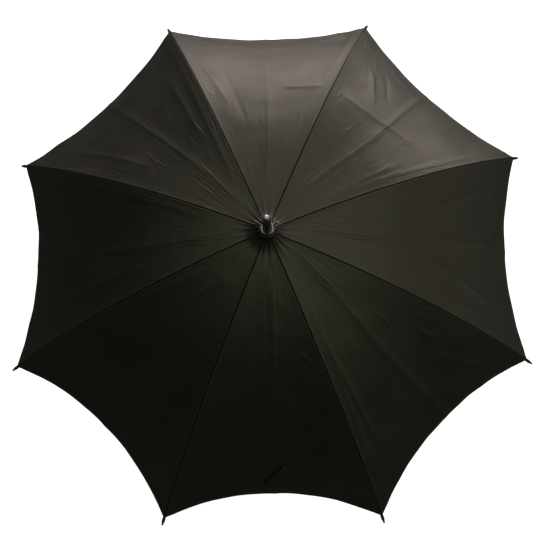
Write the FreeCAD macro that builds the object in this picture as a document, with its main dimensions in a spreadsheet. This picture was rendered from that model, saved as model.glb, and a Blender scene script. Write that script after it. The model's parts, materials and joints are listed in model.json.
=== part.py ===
import FreeCAD, Part
import math
import os
import re

import Sketcher
from FreeCAD import Placement, Rotation, Vector

# A stick umbrella with eight ribs, open. Millimetres, +Z up. The origin is on the shaft's axis at
# the top of the handle. Rib 1 points along +X and the others follow every 45 degrees. The ribs
# hang on a ring of wire in the crown, and the stretchers on a like ring in the runner. The hinge
# radii are equal, and a stretcher is as long as the rib's own link, so the two links make an
# isosceles triangle at every angle and the runner stays on the shaft.

SIZES = [
    ("rib_count", 8, "ribs, stretchers and gores"),
    ("shaft_radius", 5, "outside of the steel tube"),
    ("shaft_wall", 0.7, "wall of the steel tube"),
    ("shaft_sunk", 70, "length of tube inside the handle"),
    ("shaft_above", 45, "length of tube above the crown's hinge plane"),
    ("crown_height", 650, "hinge plane of the crown above the handle"),
    ("hinge_radius", 9, "radius of both hinge rings"),
    ("wire_radius", 0.6, "radius of the hinge wires"),
    ("wire_room", 0.02, "room between a wire and its channel"),
    ("eye_radius", 2, "outside of a link's eye"),
    ("eye_room", 0.08, "room between a wire and an eye"),
    ("tab_width", 1.8, "width of a link's flat end"),
    ("slot_room", 0.2, "room each side of a flat end in its slot"),
    ("slot_floor", 6.6, "radius at which a slot begins"),
    ("notch_radius", 11.5, "outside of the crown and of the runner's head"),
    ("notch_half", 3.5, "half height of the crown and of the runner's head"),
    ("notch_web", 1.1, "closed side of a slotted head"),
    ("sleeve_radius", 6.4, "outside of the crown's sleeve"),
    ("sleeve_length", 12, "length of the crown's sleeve"),
    ("boss_radius", 8, "radius of the crown's boss under the crown patch"),
    ("link_length", 300, "crown hinge to rivet, and rivet to runner hinge"),
    ("rib_bow", 740, "radius of a rib's bow when the canopy is open"),
    ("rib_slope", 2, "slope of a rib where it leaves the crown, degrees"),
    ("rib_length", 575, "length of a rib along its bow"),
    ("rib_width", 3.2, "outside width of a rib's channel"),
    ("rib_depth", 3, "depth of a rib's channel"),
    ("rib_wall", 0.7, "wall of a rib's channel"),
    ("tab_length", 14, "hinge to the start of a channel"),
    ("rivet_radius", 0.8, "shank of a rivet and of the pins"),
    ("rivet_room", 0.05, "room between a pin and what turns on it"),
    ("rivet_head", 1.5, "radius of a rivet's head"),
    ("rivet_head_height", 0.5, "height of a rivet's head"),
    ("fork_gap", 3.5, "gap between a stretcher's cheeks"),
    ("fork_width", 5.1, "outside width of a stretcher"),
    ("fork_length", 19, "rivet to the end of the gap"),
    ("fork_radius", 1.9, "outside of a stretcher's cheeks at the rivet"),
    ("stretcher_depth", 3, "depth of a stretcher's channel"),
    ("stretcher_wall", 0.7, "wall of a stretcher's channel"),
    ("tip_start", 565, "where a rib's tip begins along the bow"),
    ("tip_length", 20, "length of a rib's tip"),
    ("tip_bore", 2.26, "radius of a tip's socket"),
    ("tip_bore_depth", 10.5, "depth of a tip's socket"),
    ("tip_radius", 3, "outside of a tip's sleeve"),
    ("tip_nose", 1.9, "radius of a tip's rounded nose"),
    ("runner_bore", 5.05, "bore of the runner"),
    ("runner_radius", 6.8, "outside of the runner's tube"),
    ("runner_length", 50, "hinge plane to the runner's lower end"),
    ("runner_rim", 9, "radius of the runner's thumb rim"),
    ("runner_rim_height", 4, "height of the runner's thumb rim"),
    ("window_top", 16, "hinge plane to the top of the runner's window"),
    ("window_length", 22, "height of the runner's window"),
    ("window_width", 3, "width of the runner's window"),
    ("catch_width", 2, "width of a catch"),
    ("catch_reach", 8.2, "radius to which a catch's nose stands out"),
    ("catch_length", 32, "pivot to the flat edge of a catch's nose"),
    ("catch_nose", 18, "height of a catch's nose"),
    ("catch_pivot", 2, "distance of a catch's pivot from the shaft's axis"),
    ("catch_pin_half", 4, "half length of a catch's pin, which ends inside the tube's wall"),
    ("catch_room", 0.3, "gap between the raised catch and the runner's lower end"),
    ("catch_low", 28, "flat edge of the lower catch above the handle"),
    ("slot_width", 2.6, "width of the shaft's slot for a catch"),
    ("stop_height", 513, "axis of the stop pin above the handle"),
    ("stop_half", 6.2, "half length of the stop pin"),
    ("gore_lift", 2.4, "middle of a rib to the underside of the canopy"),
    ("gore_thickness", 0.6, "thickness of a gore"),
    ("gore_start", 13, "radius at which a gore begins"),
    ("gore_end", 562, "end of a gore's seam along the rib's bow"),
    ("gore_gap", 0.25, "gore to the middle plane of a rib"),
    ("hem_hollow", 27, "hollow of a hem between two tips, seen from above"),
    ("peak_rise", 13, "rise of the gathered canopy at the crown above the ribs' bow"),
    ("peak_radius", 45, "radius at which the canopy leaves the ribs' bow to rise"),
    ("patch_bottom", 18, "hinge plane to the underside of the crown patch"),
    ("patch_thickness", 0.8, "thickness of the crown patch"),
    ("patch_radius", 18, "radius of the crown patch"),
    ("patch_drop", 3.5, "drop of the crown patch from the ring to its edge"),
    ("ring_radius", 11.5, "outside of the ferrule's ring"),
    ("ring_lip", 9.6, "inside of the ring's lip"),
    ("ring_floor", 1, "floor of the ferrule's ring"),
    ("ring_height", 3, "height of the ferrule's ring"),
    ("ferrule_base", 8.4, "radius of the ferrule at its foot"),
    ("ferrule_neck", 7.1, "radius of the ferrule at its top"),
    ("ferrule_length", 58, "length of the ferrule"),
    ("point_radius", 5.25, "radius of the metal point"),
    ("point_length", 9, "straight length of the metal point"),
    ("point_dome", 3.5, "height of the metal point's dome"),
    ("point_stem", 3.2, "radius of the metal point's stem"),
    ("point_stem_length", 8, "length of the metal point's stem"),
    ("grip_radius", 10.5, "radius of the crook handle"),
    ("grip_top", 4, "collar's top to the handle's own top"),
    ("grip_straight", 95, "straight length of the handle below the origin"),
    ("crook_radius", 38, "radius of the crook's middle line"),
    ("crook_end", 24, "straight end of the crook"),
    ("collar_radius", 11.4, "outside of the handle's collar"),
    ("collar_top", 8.6, "radius of the collar's top"),
    ("collar_length", 15, "length of the handle's collar"),
    ("cap_height", 6, "height of the crook's end cap"),
    ("cap_flat", 5, "radius of the flat on the end cap"),
    ("strap_length", 58, "length of the tie strap"),
    ("strap_width", 14, "width of the tie strap"),
    ("strap_thickness", 0.8, "thickness of the tie strap"),
    ("strap_place", 470, "middle of the tie strap along the rib's bow"),
    ("strap_across", 9, "middle of the tie strap from its gore's middle line"),
    ("strap_turn", 39, "turn of the tie strap from its gore's middle line"),
    ("snap_radius", 5.5, "radius of the strap's snap"),
    ("snap_height", 1.6, "height of the strap's snap"),
]

STRAP_GORE = 6

doc = FreeCAD.newDocument("stick_umbrella")
sheet = doc.addObject("Spreadsheet::Sheet", "sizes")
for row, (alias, value, meaning) in enumerate(SIZES, start=1):
    sheet.set(f"A{row}", meaning)
    sheet.set(f"B{row}", str(value))
    sheet.setAlias(f"B{row}", alias)
doc.recompute()

ALIASES = {alias for alias, _, _ in SIZES}
parts = []


def size(alias):
    """A driving dimension as a number."""
    return float(sheet.get(alias))


def tied(text):
    """An expression whose words are cells of the sheet."""
    return re.sub("[a-z_]+", lambda word: f"sizes.{word[0]}" if word[0] in ALIASES else word[0], str(text))


# --- the shape of a rib ---------------------------------------------------------------------------


def rib_place(along):
    """Radius, height and slope in degrees of a rib's middle line at a length along its bow."""
    slope = math.radians(size("rib_slope"))
    turned = slope + along / size("rib_bow")
    radius = size("hinge_radius") + size("rib_bow") * (math.sin(turned) - math.sin(slope))
    height = size("crown_height") - size("rib_bow") * (math.cos(slope) - math.cos(turned))
    return radius, height, math.degrees(turned)


def link_half_turn():
    """Half the angle in degrees that the bow turns through from the hinge to the rivet."""
    return math.degrees(math.asin(size("link_length") / 2 / size("rib_bow")))


def link_slope():
    """Slope in degrees of the straight line from the crown's hinge to the rivet."""
    return size("rib_slope") + link_half_turn()


def rivet_along():
    """Length along the bow at which the rivet sits."""
    return math.radians(2 * link_half_turn()) * size("rib_bow")


def runner_height():
    """Hinge plane of the runner with the canopy open."""
    return size("crown_height") - 2 * size("link_length") * math.sin(math.radians(link_slope()))


def azimuth(number):
    """Direction in degrees of rib NUMBER."""
    return 360 / size("rib_count") * (number - 1)


def swung(degrees):
    return Placement(Vector(), Rotation(Vector(0, 0, 1), degrees))


def tilted(radius, height, degrees):
    """A place in the XZ plane whose X axis slopes down by DEGREES."""
    return Placement(Vector(radius, 0, height), Rotation(Vector(0, 1, 0), degrees))


# --- drawing helpers ------------------------------------------------------------------------------


def new_body(label):
    body = doc.addObject("PartDesign::Body", label)
    body.Label = label
    parts.append(body)
    return body


def new_sketch(body, name, role, offset=Placement()):
    """A sketch on one of the body's own origin planes."""
    plane = next(f for f in body.Origin.OriginFeatures if f.Role == role)
    sketch = body.newObject("Sketcher::SketchObject", name)
    sketch.AttachmentSupport = [(plane, "")]
    sketch.MapMode = "FlatFace"
    sketch.AttachmentOffset = offset
    return sketch


def raised(height):
    return Placement(Vector(0, 0, height), Rotation())


def bind(sketch, kind, *args):
    """Adds a constraint whose last argument is an expression of the sheet."""
    expression = tied(args[-1])
    value = float(sketch.evalExpression(expression))
    index = sketch.addConstraint(Sketcher.Constraint(kind, *args[:-1], value))
    sketch.setExpression(f"Constraints[{index}]", expression)


def outline(sketch, corners):
    """A closed outline of straight lines whose corners are pairs of expressions."""
    count = len(corners)
    first = sketch.GeometryCount
    start = [
        Vector(math.cos(2 * math.pi * i / count), math.sin(2 * math.pi * i / count), 0)
        for i in range(count)
    ]
    for i in range(count):
        sketch.addGeometry(Part.LineSegment(start[i], start[(i + 1) % count]), False)
    for i in range(count):
        after = first + (i + 1) % count
        sketch.addConstraint(Sketcher.Constraint("Coincident", first + i, 2, after, 1))
    for i, (across, up) in enumerate(corners):
        bind(sketch, "DistanceX", -1, 1, first + i, 1, across)
        bind(sketch, "DistanceY", -1, 1, first + i, 1, up)


def rectangle(sketch, left, right, low, high):
    outline(sketch, [(left, low), (right, low), (right, high), (left, high)])


def circle(sketch, radius, across=0, up=0):
    index = sketch.addGeometry(Part.Circle(Vector(0.1, 0.1, 0), Vector(0, 0, 1), 1), False)
    bind(sketch, "Radius", index, radius)
    bind(sketch, "DistanceX", -1, 1, index, 3, across)
    bind(sketch, "DistanceY", -1, 1, index, 3, up)


def grow(body, kind, sketch, length, both=False, back=False):
    """A Pad or a Pocket. A Pocket is known to cut: the volume before it is compared."""
    doc.recompute()
    before = body.Shape.Volume if kind == "Pocket" else 0
    feature = body.newObject(f"PartDesign::{kind}", f"{sketch.Name}_{kind.lower()}")
    feature.Profile = sketch
    feature.setExpression("Length", tied(length))
    feature.Midplane = both
    feature.Reversed = back
    doc.recompute()
    if kind == "Pocket" and not body.Shape.Volume < before - 1e-4:
        raise RuntimeError(f"{feature.Name} cuts nothing")
    return feature


def pad(body, sketch, length, both=False, back=False):
    return grow(body, "Pad", sketch, length, both, back)


def pocket(body, sketch, length, both=False, back=False):
    return grow(body, "Pocket", sketch, length, both, back)


def turn(body, sketch, angle=360, axis="V_Axis", kind="Revolution", back=False):
    feature = body.newObject(f"PartDesign::{kind}", f"{sketch.Name}_turn")
    feature.Profile = sketch
    feature.ReferenceAxis = (sketch, [axis])
    feature.setExpression("Angle", tied(angle))
    feature.Reversed = back
    doc.recompute()
    return feature


def repeat_around(body, feature):
    """Repeats a feature once for each rib."""
    pattern = body.newObject("PartDesign::PolarPattern", f"{feature.Name}_pattern")
    pattern.Originals = [feature]
    axis = next(f for f in body.Origin.OriginFeatures if f.Role == "Z_Axis")
    pattern.Axis = (axis, [""])
    pattern.Angle = 360
    pattern.setExpression("Occurrences", tied("rib_count"))
    body.Tip = pattern
    doc.recompute()


def turned_body(label, corners, height=0):
    """A body of revolution about Z from its outline in the XZ plane."""
    body = new_body(label)
    sketch = new_sketch(body, f"{label}_outline", "XZ_Plane")
    outline(sketch, corners)
    turn(body, sketch)
    body.Placement = raised(height)
    return body


def cross_pin(label, radius, half_length, across, height):
    """A round pin along Y, through the shaft."""
    pin = doc.addObject("Part::Cylinder", label)
    pin.Label = label
    pin.setExpression("Radius", tied(radius))
    pin.setExpression("Height", tied(f"2 * {half_length}"))
    pin.Placement = Placement(Vector(across, size(half_length), height), Rotation(Vector(1, 0, 0), 90))
    parts.append(pin)


def hinge_wire(label, height):
    """The ring of wire that a set of links turns on."""
    wire = doc.addObject("Part::Torus", label)
    wire.Label = label
    wire.setExpression("Radius1", tied("hinge_radius"))
    wire.setExpression("Radius2", tied("wire_radius"))
    wire.Placement = raised(height)
    parts.append(wire)


# --- shaft and its catches ------------------------------------------------------------------------


def catch_heights():
    """Flat edge and pivot height of the upper catch, then of the lower one."""
    upper = runner_height() - size("runner_length") - size("catch_room")
    lower = size("catch_low")
    return (upper, upper - size("catch_length")), (lower, lower + size("catch_length"))


def make_shaft():
    """The steel tube, with a slot and a pin hole for each catch and holes for two more pins."""
    body = new_body("shaft")
    base = new_sketch(body, "shaft_section", "XY_Plane", raised(-size("shaft_sunk")))
    circle(base, "shaft_radius")
    circle(base, "shaft_radius - shaft_wall")
    pad(body, base, "shaft_sunk + crown_height + shaft_above")
    slots = new_sketch(body, "shaft_slots", "YZ_Plane")
    for edge, pivot in catch_heights():
        away = 1 if edge > pivot else -1
        low, high = sorted((edge + 2 * away, edge - away * (size("catch_nose") + 3)))
        rectangle(slots, "-slot_width / 2", "slot_width / 2", low, high)
    pocket(body, slots, "2 * shaft_radius", back=True)
    holes = new_sketch(body, "shaft_pin_holes", "XZ_Plane")
    for _, pivot in catch_heights():
        circle(holes, "rivet_radius", "catch_pivot", pivot)
    circle(holes, "rivet_radius", 0, "stop_height")
    circle(holes, "rivet_radius", 0, "crown_height - notch_half - sleeve_length / 2")
    pocket(body, holes, "4 * shaft_radius", both=True)


def make_catch(label, height, upside_down):
    """A sprung catch: a flat strip on a pin inside the shaft, with a nose that stands out of it."""
    body = new_body(label)
    strip = new_sketch(body, f"{label}_outline", "XZ_Plane")
    outline(
        strip,
        [
            ("catch_pivot - 1.6", -2),
            ("catch_pivot + 1.6", -2),
            ("shaft_radius - shaft_wall - 0.3", "catch_length - catch_nose - 2"),
            ("shaft_radius + 0.1", "catch_length - catch_nose"),
            ("catch_reach", "catch_length - 5"),
            ("catch_reach", "catch_length"),
            ("catch_pivot - 0.6", "catch_length"),
        ],
    )
    pad(body, strip, "catch_width", both=True)
    hole = new_sketch(body, f"{label}_hole", "XZ_Plane")
    circle(hole, "rivet_radius + rivet_room", "catch_pivot")
    pocket(body, hole, "4 * catch_width", both=True)
    # an upside-down catch is turned half a turn about X, which leaves its nose on the +X side
    half_turn = Rotation(Vector(1, 0, 0), 180 if upside_down else 0)
    body.Placement = Placement(Vector(0, 0, height), half_turn)
    cross_pin(f"{label}_pin", "rivet_radius", "catch_pin_half", size("catch_pivot"), height)


def make_shaft_fittings():
    (_, upper_pivot), (_, lower_pivot) = catch_heights()
    make_catch("top_catch", upper_pivot, False)
    make_catch("bottom_catch", lower_pivot, True)
    cross_pin("stop_pin", "rivet_radius", "stop_half", 0, size("stop_height"))
    sleeve_middle = size("crown_height") - size("notch_half") - size("sleeve_length") / 2
    cross_pin("crown_pin", "rivet_radius", "sleeve_radius", 0, sleeve_middle)


# --- crown and runner -----------------------------------------------------------------------------


def cut_wire_channel(body, label):
    channel = new_sketch(body, f"{label}_channel", "XZ_Plane")
    circle(channel, "wire_radius + wire_room", "hinge_radius")
    before = body.Shape.Volume
    turn(body, channel, kind="Groove")
    if not body.Shape.Volume < before:
        raise RuntimeError(f"{label}'s channel cuts nothing")


def cut_slots(body, label, open_above):
    """The slots in which the links turn: open outwards, and above or below."""
    floor = "-notch_half" if not open_above else "-notch_half + notch_web"
    slot = new_sketch(body, f"{label}_slot", "XZ_Plane")
    rectangle(
        slot,
        "slot_floor",
        "notch_radius + 2",
        f"{floor}",
        f"{floor} + 2 * notch_half - notch_web",
    )
    repeat_around(body, pocket(body, slot, "tab_width + 2 * slot_room", both=True))


def make_crown():
    """The crown: a slotted ring with a sleeve below and a boss above, pinned to the shaft."""
    body = turned_body(
        "crown",
        [
            ("shaft_radius", "-notch_half - sleeve_length"),
            ("sleeve_radius", "-notch_half - sleeve_length"),
            ("sleeve_radius", "-notch_half"),
            ("notch_radius", "-notch_half"),
            ("notch_radius", "notch_half"),
            ("boss_radius", "patch_bottom"),
            ("shaft_radius", "patch_bottom"),
        ],
        size("crown_height"),
    )
    cut_wire_channel(body, "crown")
    cut_slots(body, "crown", open_above=False)
    hole = new_sketch(body, "crown_pin_hole", "XZ_Plane")
    circle(hole, "rivet_radius", 0, "-notch_half - sleeve_length / 2")
    pocket(body, hole, "4 * sleeve_radius", both=True)
    hinge_wire("crown_wire", size("crown_height"))


def make_runner():
    """The runner: a slotted head on a tube with a thumb rim and a window for the lower catch."""
    body = turned_body(
        "runner",
        [
            ("runner_bore", "-runner_length"),
            ("runner_rim", "-runner_length"),
            ("runner_rim", "-runner_length + runner_rim_height"),
            ("runner_radius", "-runner_length + runner_rim_height + 2"),
            ("runner_radius", "-notch_half - 3"),
            ("notch_radius", "-notch_half"),
            ("notch_radius", "notch_half"),
            ("runner_bore", "notch_half"),
        ],
        runner_height(),
    )
    cut_wire_channel(body, "runner")
    cut_slots(body, "runner", open_above=True)
    window = new_sketch(body, "runner_window", "YZ_Plane")
    top = "-window_top"
    rectangle(window, "-window_width / 2", "window_width / 2", f"{top} - window_length", top)
    pocket(body, window, "2 * runner_radius", back=True)
    hinge_wire("runner_wire", runner_height())


# --- ribs, tips, stretchers and rivets ------------------------------------------------------------


def channel_outline(sketch, width, depth, wall, middle=0):
    """A channel section, open below, whose middle is at height MIDDLE."""
    outline(
        sketch,
        [
            (f"-{width} / 2", f"{middle} - {depth} / 2"),
            (f"-{width} / 2 + {wall}", f"{middle} - {depth} / 2"),
            (f"-{width} / 2 + {wall}", f"{middle} + {depth} / 2 - {wall}"),
            (f"{width} / 2 - {wall}", f"{middle} + {depth} / 2 - {wall}"),
            (f"{width} / 2 - {wall}", f"{middle} - {depth} / 2"),
            (f"{width} / 2", f"{middle} - {depth} / 2"),
            (f"{width} / 2", f"{middle} + {depth} / 2"),
            (f"-{width} / 2", f"{middle} + {depth} / 2"),
        ],
    )


def add_flat_end(body, label, far, at=0):
    """A link's flat end: a tab that reaches from the eye at AT to FAR, and a round about the eye."""
    tab = new_sketch(body, f"{label}_tab", "XZ_Plane")
    rectangle(tab, at, far, "-eye_radius * 0.6", "eye_radius * 0.6")
    pad(body, tab, "tab_width", both=True)
    eye = new_sketch(body, f"{label}_eye", "XZ_Plane")
    circle(eye, "eye_radius", at)
    pad(body, eye, "tab_width", both=True)


def drill(body, label, radius, across=0, up=0):
    """A hole along Y, right through."""
    hole = new_sketch(body, f"{label}_hole", "XZ_Plane")
    circle(hole, radius, across, up)
    pocket(body, hole, "4 * fork_width", both=True)


def make_rib(number):
    """A channel bowed round one arc, with a flat end that turns on the crown's wire."""
    label = f"rib_{number}"
    body = new_body(label)
    add_flat_end(body, label, "tab_length + 1")
    # the section stands at the start of the bow's channel, on a plane turned about the bow's centre
    start = math.degrees(size("tab_length") / size("rib_bow"))
    centre = Placement(Vector(0, -size("rib_bow"), 0), Rotation(Vector(1, 0, 0), start))
    section = new_sketch(body, f"{label}_section", "YZ_Plane", centre)
    channel_outline(section, "rib_width", "rib_depth", "rib_wall", "rib_bow")
    turn(body, section, f"(rib_length - tab_length) / rib_bow * 180 / {math.pi}", "H_Axis")
    drill(body, f"{label}_eye", "wire_radius + eye_room")
    turned = rivet_along() / size("rib_bow")
    drop = size("rib_bow") * (1 - math.cos(turned))
    drill(body, f"{label}_rivet", "rivet_radius", size("rib_bow") * math.sin(turned), -drop)
    hinge = tilted(size("hinge_radius"), size("crown_height"), size("rib_slope"))
    body.Placement = swung(azimuth(number)) * hinge


def make_rib_tip(number):
    """A moulded tip: a socket over the end of the rib, a shoulder and a rounded nose."""
    label = f"rib_tip_{number}"
    body = turned_body(
        label,
        [
            ("tip_bore", 0),
            ("tip_radius", 0),
            ("tip_radius", "tip_bore_depth"),
            ("tip_nose", "tip_bore_depth + 3"),
            ("tip_nose", "tip_length - tip_nose / 2"),
            ("tip_nose / 2", "tip_length"),
            (0, "tip_length"),
            (0, "tip_bore_depth"),
            ("tip_bore", "tip_bore_depth"),
        ],
    )
    radius, height, slope = rib_place(size("tip_start"))
    body.Placement = swung(azimuth(number)) * tilted(radius, height, slope + 90)


def make_rivet(number):
    """The rivet that joins a rib to its stretcher."""
    head = "fork_width / 2 + rivet_room"
    body = turned_body(
        f"rivet_{number}",
        [
            (0, f"-({head}) - rivet_head_height"),
            ("rivet_head", f"-({head}) - rivet_head_height"),
            ("rivet_head", f"-({head})"),
            ("rivet_radius", f"-({head})"),
            ("rivet_radius", head),
            ("rivet_head", head),
            ("rivet_head", f"{head} + rivet_head_height"),
            (0, f"{head} + rivet_head_height"),
        ],
    )
    radius, height, _ = rib_place(rivet_along())
    across = Placement(Vector(radius, 0, height), Rotation(Vector(1, 0, 0), 90))
    body.Placement = swung(azimuth(number)) * across


def make_stretcher(number):
    """A channel with a fork that straddles the rib and a flat end on the runner's wire."""
    label = f"stretcher_{number}"
    body = new_body(label)
    section = new_sketch(body, f"{label}_section", "YZ_Plane", raised(size("fork_length")))
    channel_outline(section, "fork_width", "stretcher_depth", "stretcher_wall")
    pad(body, section, "link_length - tab_length - fork_length")
    cheeks = new_sketch(body, f"{label}_cheeks", "XZ_Plane")
    rectangle(cheeks, 0, "fork_length + 5", "-stretcher_depth / 2", "stretcher_depth / 2")
    pad(body, cheeks, "fork_width", both=True)
    rounds = new_sketch(body, f"{label}_rounds", "XZ_Plane")
    circle(rounds, "fork_radius")
    pad(body, rounds, "fork_width", both=True)
    gap = new_sketch(body, f"{label}_gap", "XZ_Plane")
    rectangle(gap, "-2 * fork_radius", "fork_length", "-stretcher_depth", "stretcher_depth")
    pocket(body, gap, "fork_gap", both=True)
    add_flat_end(body, label, "link_length - tab_length - 1", "link_length")
    drill(body, f"{label}_eye", "wire_radius + eye_room", "link_length")
    drill(body, f"{label}_rivet", "rivet_radius + rivet_room")
    radius, height, _ = rib_place(rivet_along())
    inwards = swung(180) * tilted(0, 0, link_slope())
    body.Placement = swung(azimuth(number)) * Placement(Vector(radius, 0, height), Rotation()) * inwards


# --- canopy ---------------------------------------------------------------------------------------


def peak_rise(radius):
    """Rise of the gathered canopy above the ribs' bow, which fades out at the peak's radius."""
    share = (size("peak_radius") - radius) / (size("peak_radius") - size("gore_start"))
    return size("peak_rise") * max(share, 0) ** 2


def gore_shape():
    """One gore about the XZ plane: a bowed strip, cut by its two ribs and by its hollow hem."""
    half = math.radians(180 / size("rib_count"))
    end = size("gore_end")
    steps = 36
    low, high = [], []
    for step in range(steps + 1):
        radius, height, slope = rib_place(end * step / steps)
        lean = math.atan(math.tan(math.radians(slope)) / math.cos(half))
        for side, offset in ((low, size("gore_lift")), (high, size("gore_lift") + size("gore_thickness"))):
            across = radius * math.cos(half) + offset * math.sin(lean)
            side.append(Vector(across, 0, height + offset * math.cos(lean) + peak_rise(radius)))
    edges = []
    for side in (low, high):
        curve = Part.BSplineCurve()
        curve.interpolate(side)
        edges.append(curve.toShape())
    edges.append(Part.makeLine(low[0], high[0]))
    edges.append(Part.makeLine(low[-1], high[-1]))
    wide = 2 * size("rib_length")
    profile = Part.Face(Part.Wire(Part.__sortEdges__(edges)))
    profile.translate(Vector(0, -wide / 2, 0))
    strip = profile.extrude(Vector(0, wide, 0))

    gap = size("gore_gap") / math.cos(half)
    near = size("gore_start") * math.cos(half)
    far = rib_place(end)[0] * math.cos(half)
    hollow = far - size("hem_hollow")
    inner = [Vector(near, side * (near * math.tan(half) - gap), 0) for side in (1, -1)]
    outer = [Vector(far, side * (far * math.tan(half) - gap), 0) for side in (-1, 1)]
    hem = Part.Arc(outer[0], Vector(hollow, 0, 0), outer[1]).toShape()
    sides = [Part.makeLine(*inner), Part.makeLine(inner[1], outer[0]), Part.makeLine(outer[1], inner[0])]
    fan = Part.Face(Part.Wire(Part.__sortEdges__([*sides, hem])))
    return strip.common(fan.extrude(Vector(0, 0, size("crown_height") + size("rib_length"))))


def make_gores():
    """The gores of the canopy, each between two ribs."""
    shape = gore_shape()
    for number in range(1, int(size("rib_count")) + 1):
        gore = doc.addObject("Part::Feature", f"canopy_gore_{number}")
        gore.Label = f"canopy_gore_{number}"
        gore.Shape = shape
        gore.Placement = swung(azimuth(number + 0.5))
        parts.append(gore)


def make_crown_patch():
    """The round of cloth over the hole in the middle of the canopy, flat under the ferrule's ring."""
    turned_body(
        "crown_patch",
        [
            ("shaft_radius", "patch_bottom"),
            ("ring_radius", "patch_bottom"),
            ("patch_radius", "patch_bottom - patch_drop"),
            ("patch_radius", "patch_bottom - patch_drop + patch_thickness"),
            ("ring_radius", "patch_bottom + patch_thickness"),
            ("shaft_radius", "patch_bottom + patch_thickness"),
        ],
        size("crown_height"),
    )


def make_tie():
    """The tie strap, laid askew on one gore beside the hem, and its snap."""
    half = math.radians(180 / size("rib_count"))
    radius, height, slope = rib_place(size("strap_place"))
    lean = math.degrees(math.atan(math.tan(math.radians(slope)) / math.cos(half)))
    on_gore = swung(azimuth(STRAP_GORE + 0.5)) * tilted(radius * math.cos(half), height, lean)
    askew = Placement(Vector(0, size("strap_across"), 0), Rotation(Vector(0, 0, 1), -size("strap_turn")))
    clear = size("gore_lift") + size("gore_thickness") + 1
    strap = doc.addObject("Part::Box", "tie_strap")
    strap.Label = "tie_strap"
    strap.setExpression("Length", tied("strap_length"))
    strap.setExpression("Width", tied("strap_width"))
    strap.setExpression("Height", tied("strap_thickness"))
    corner = Placement(Vector(-size("strap_length") / 2, -size("strap_width") / 2, clear), Rotation())
    strap.Placement = on_gore * askew * corner
    parts.append(strap)
    snap = doc.addObject("Part::Cylinder", "tie_snap")
    snap.Label = "tie_snap"
    snap.setExpression("Radius", tied("snap_radius"))
    snap.setExpression("Height", tied("snap_height"))
    end = size("strap_length") / 2 - size("snap_radius") - 2
    top = Placement(Vector(-end, 0, clear + size("strap_thickness")), Rotation())
    snap.Placement = on_gore * askew * top
    parts.append(snap)


# --- ferrule --------------------------------------------------------------------------------------


def make_ferrule():
    """The ferrule on top: a lipped metal ring, a tapered moulded body and a metal point."""
    ring_bottom = "patch_bottom + patch_thickness"
    foot = f"{ring_bottom} + ring_floor"
    top = f"{foot} + ferrule_length"
    turned_body(
        "ferrule_ring",
        [
            ("shaft_radius", ring_bottom),
            ("ring_radius", ring_bottom),
            ("ring_radius", f"{ring_bottom} + ring_height - 0.8"),
            ("ring_radius - 0.8", f"{ring_bottom} + ring_height"),
            ("ring_lip", f"{ring_bottom} + ring_height"),
            ("ring_lip", foot),
            ("shaft_radius", foot),
        ],
        size("crown_height"),
    )
    turned_body(
        "ferrule",
        [
            ("shaft_radius", foot),
            ("ferrule_base", foot),
            ("ferrule_base", f"{foot} + 4"),
            ("ferrule_base - 0.7", f"{foot} + 6"),
            ("ferrule_neck", f"{top} - 2"),
            ("ferrule_neck - 0.8", top),
            ("point_stem", top),
            ("point_stem", f"{top} - point_stem_length"),
            (0, f"{top} - point_stem_length"),
            (0, "shaft_above"),
            ("shaft_radius", "shaft_above"),
        ],
        size("crown_height"),
    )
    turned_body(
        "ferrule_point",
        [
            (0, f"{top} - point_stem_length"),
            ("point_stem", f"{top} - point_stem_length"),
            ("point_stem", top),
            ("point_radius", top),
            ("point_radius", f"{top} + point_length"),
            ("point_radius * 0.87", f"{top} + point_length + point_dome * 0.5"),
            ("point_radius * 0.5", f"{top} + point_length + point_dome * 0.87"),
            (0, f"{top} + point_length + point_dome"),
        ],
        size("crown_height"),
    )


# --- handle ---------------------------------------------------------------------------------------


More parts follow.
